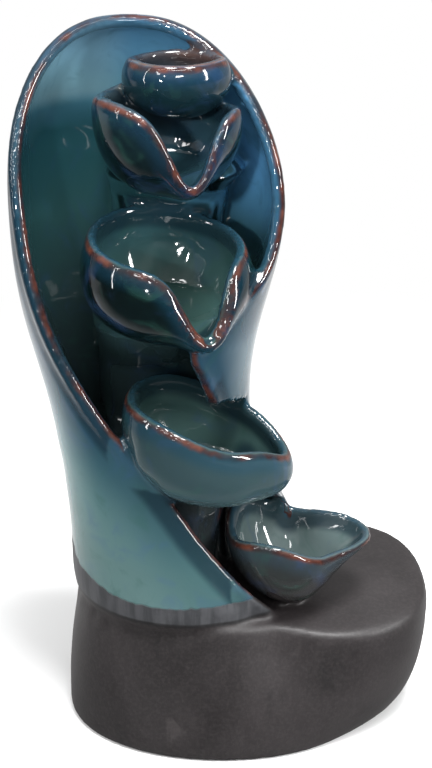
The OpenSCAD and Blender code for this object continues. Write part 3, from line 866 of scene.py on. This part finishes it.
# Soft steps over the floor, in metres: its fade to white, and what a shiny surface sees of it behind the
# object, far out and on the right; and the least it sees
FLOOR_FADE = (0.16, 0.45)
FLOOR_BEHIND, FLOOR_FAR, FLOOR_RIGHT = (-0.12, 0.15), (0.28, 0.55, 1.25, 0.55), (0.1, 0.5, 0, 0.25)
FLOOR_LEAST = 0.05
# Soft steps over the sky: what a shiny surface sees upwards and behind, and what lights the object from the
# front to behind
SKY_UP, SKY_BEHIND = (0.15, 0.6, 0.03, 0.58), (0.1, 0.5, 0.0, 0.4)
SKY_LIGHT = (-0.7, 0.4, 0.9, 0.6)

# Lamps: name, place, width and height in metres, and watts. All face the middle of the object
LAMPS = (
    ("key", (-0.5, -0.85, 0.95), (0.25, 0.12), 1.5),
    ("overhead", (0.15, -0.25, 1.2), (0.35, 0.35), 16),
    ("top_strip", (-0.1, -0.65, 1.05), (0.9, 0.02), 2),
    ("left_strip", (-0.95, -0.35, 0.55), (0.02, 0.9), 2),
    ("right", (1.0, -0.45, 0.6), (0.1, 0.6), 12),
    ("spark", (-0.1, -0.9, 0.75), (0.06, 0.06), 0.6),
)
# A round beam into the hood: its place, where it lands and how wide, the radius of its lamp, and watts
BEAM_FROM, BEAM_TO = Vector((-0.32, -1.0, 0.45)), Vector((-0.02, 0.02, 0.19))
BEAM_WIDTH, BEAM_RADIUS, BEAM_WATTS = 0.14, 0.04, 32


def floor_shader(n):
    """Pale and fading, far out, into plain white; a shiny surface sees it dark in front."""
    place = n.place()
    x, y, _ = n.axes(place)
    far = n.put("ShaderNodeVectorMath", {0: place}, operation="LENGTH").outputs["Value"]
    near = n.put("ShaderNodeBsdfDiffuse", {"Color": FLOOR_COLOUR}).outputs[0]
    seen = n.put("ShaderNodeMixShader", {0: n.step(far, *FLOOR_FADE), 1: near, 2: n.glow(1.0)})
    behind = n.both(n.step(y, *FLOOR_BEHIND), n.step(far, *FLOOR_FAR))
    level = n.math("MAXIMUM", n.math("MAXIMUM", behind, FLOOR_LEAST), n.step(x, *FLOOR_RIGHT))
    glossy = n.put("ShaderNodeLightPath").outputs["Is Glossy Ray"]
    return n.put("ShaderNodeMixShader", {0: glossy, 1: seen.outputs[0], 2: n.glow(level)}).outputs[0]


def pale_floor():
    """A wide floor that isn't part of the object."""
    half = FLOOR_HALF
    corners = [(-half, -half, 0), (half, -half, 0), (half, half, 0), (-half, half, 0)]
    mesh = bpy.data.meshes.new("floor")
    mesh.from_pydata(corners, [], [(0, 1, 2, 3)])
    floor = new_object("floor", mesh)
    material, n = new_material("pale_floor")
    n.put("ShaderNodeOutputMaterial", {"Surface": floor_shader(n)})
    mesh.materials.append(material)


def studio_world():
    """White for the camera; a dome for the object, that a shiny surface sees dark low down in front."""
    world = bpy.data.worlds.new("studio")
    bpy.context.scene.world = world
    world.use_nodes = True
    n = Nodes(world.node_tree)
    _, back, up = n.axes(n.put("ShaderNodeTexCoord").outputs["Generated"])
    mirrored = n.math("MAXIMUM", n.step(up, *SKY_UP), n.step(back, *SKY_BEHIND))
    path = n.put("ShaderNodeLightPath")
    level = n.mix_numbers(path.outputs["Is Glossy Ray"], n.step(back, *SKY_LIGHT), mirrored)
    level = n.mix_numbers(path.outputs["Is Camera Ray"], level, 1.0)
    shader = n.put("ShaderNodeBackground", {"Color": WHITE, "Strength": level})
    n.put("ShaderNodeOutputWorld", {"Surface": shader.outputs[0]})


def aimed(made, place, target):
    """Stands a lamp or camera at a place and turns it to face a target."""
    made.location = place
    made.rotation_euler = (target - place).to_track_quat("-Z", "Y").to_euler()


def soft_lamp(name, place, size, watts):
    """A soft rectangular lamp that faces the middle of the object."""
    data = bpy.data.lights.new(name, "AREA")
    data.shape = "RECTANGLE"
    data.size, data.size_y = size
    data.energy = watts
    aimed(new_object(name, data), Vector(place), AIM)


def hood_beam():
    """A soft round beam into the hood."""
    data = bpy.data.lights.new("hood_light", "SPOT")
    data.spot_size = 2 * math.atan(BEAM_WIDTH / 2 / (BEAM_TO - BEAM_FROM).length)
    data.spot_blend = 1.0
    data.shadow_soft_size = BEAM_RADIUS
    data.energy = BEAM_WATTS
    aimed(new_object("hood_light", data), BEAM_FROM, BEAM_TO)


def camera():
    """The camera where the photographer's stood."""
    data = bpy.data.cameras.new("camera")
    data.sensor_width = SENSOR
    data.lens = FOCAL * SENSOR / FRAME_H
    data.clip_start = NEAREST
    made = new_object("camera", data)
    aimed(made, EYE, AIM)
    bpy.context.scene.camera = made


camera()
for row in LAMPS:
    soft_lamp(*row)
hood_beam()
studio_world()
pale_floor()
body = ceramic_piece()
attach(body, "root")
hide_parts(NODE)
bpy.context.scene.view_settings.view_transform = "Standard"
